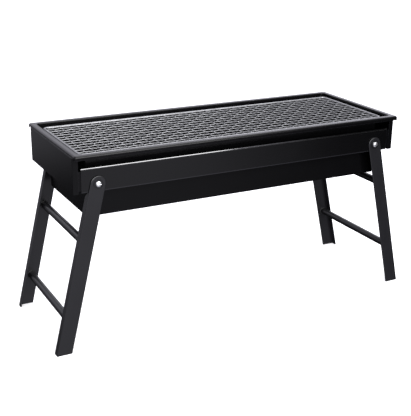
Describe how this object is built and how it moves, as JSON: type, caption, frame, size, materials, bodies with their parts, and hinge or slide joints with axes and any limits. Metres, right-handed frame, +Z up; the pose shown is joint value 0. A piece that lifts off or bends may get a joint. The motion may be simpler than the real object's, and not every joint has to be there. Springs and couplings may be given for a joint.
{
  "type": "hibachi grill",
  "caption": "Folding charcoal hibachi grill: black steel trough with a wire mesh grate, in a sheet-metal frame on hinged splayed leg frames.",
  "frame": {"origin": "on the ground, under the middle of the grill, legs opened out", "axes": "+X along the grill to its right-hand end, +Y across it to the rear, +Z up"},
  "size_m": [0.6756, 0.226, 0.325],
  "materials": {
    "frame_paint": "satin black powder coat",
    "trough_paint": "satin black heat-resistant paint",
    "leg_paint": "satin charcoal-black powder coat",
    "tube_paint": "satin black powder coat",
    "washer_black": "black zinc",
    "zinc": "bright zinc plate",
    "nylon": "moulded black nylon",
    "grate_steel": "plated steel wire, satin",
    "rack_steel": "plain steel rod, dull"
  },
  "bodies": {
    "frame": {"left_end_plate": "frame_paint", "right_end_plate": "frame_paint", "front_leg_rail": "frame_paint", "rear_leg_rail": "frame_paint", "corner_brackets": "frame_paint", "pivot_screws": "zinc", "head_washers": "washer_black", "spacer_washers": "nylon", "pivot_nuts": "zinc"},
    "left_legs": {"left_front_leg": "leg_paint", "left_rear_leg": "leg_paint", "left_upper_tube": "tube_paint", "left_lower_tube": "tube_paint"},
    "right_legs": {"right_front_leg": "leg_paint", "right_rear_leg": "leg_paint", "right_upper_tube": "tube_paint", "right_lower_tube": "tube_paint"},
    "trough": {"charcoal_trough": "trough_paint"},
    "charcoal_rack": {"charcoal_rack_frame": "rack_steel", "charcoal_rack_rods": "rack_steel"},
    "grate": {"grate_frame": "grate_steel", "grate_long_wires": "grate_steel", "grate_cross_wires": "grate_steel"}
  },
  "joints": [
    {"name": "left_leg_fold", "type": "hinge", "parent": "frame", "child": "left_legs", "pos_m": [-0.26, 0, 0.276], "axis": [0, -1, 0], "range_deg": [0, 61]},
    {"name": "right_leg_fold", "type": "hinge", "parent": "frame", "child": "right_legs", "pos_m": [0.26, 0, 0.276], "axis": [0, 1, 0], "range_deg": [0, 40]},
    {"name": "trough_lift", "type": "slide", "parent": "frame", "child": "trough", "axis": [0, 0, 1], "range_m": [0, 0.11]},
    {"name": "charcoal_rack_lift", "type": "slide", "parent": "trough", "child": "charcoal_rack", "axis": [0, 0, 1], "range_m": [0, 0.107]},
    {"name": "grate_lift", "type": "slide", "parent": "charcoal_rack", "child": "grate", "axis": [0, 0, 1], "range_m": [0, 0.06]}
  ]
}
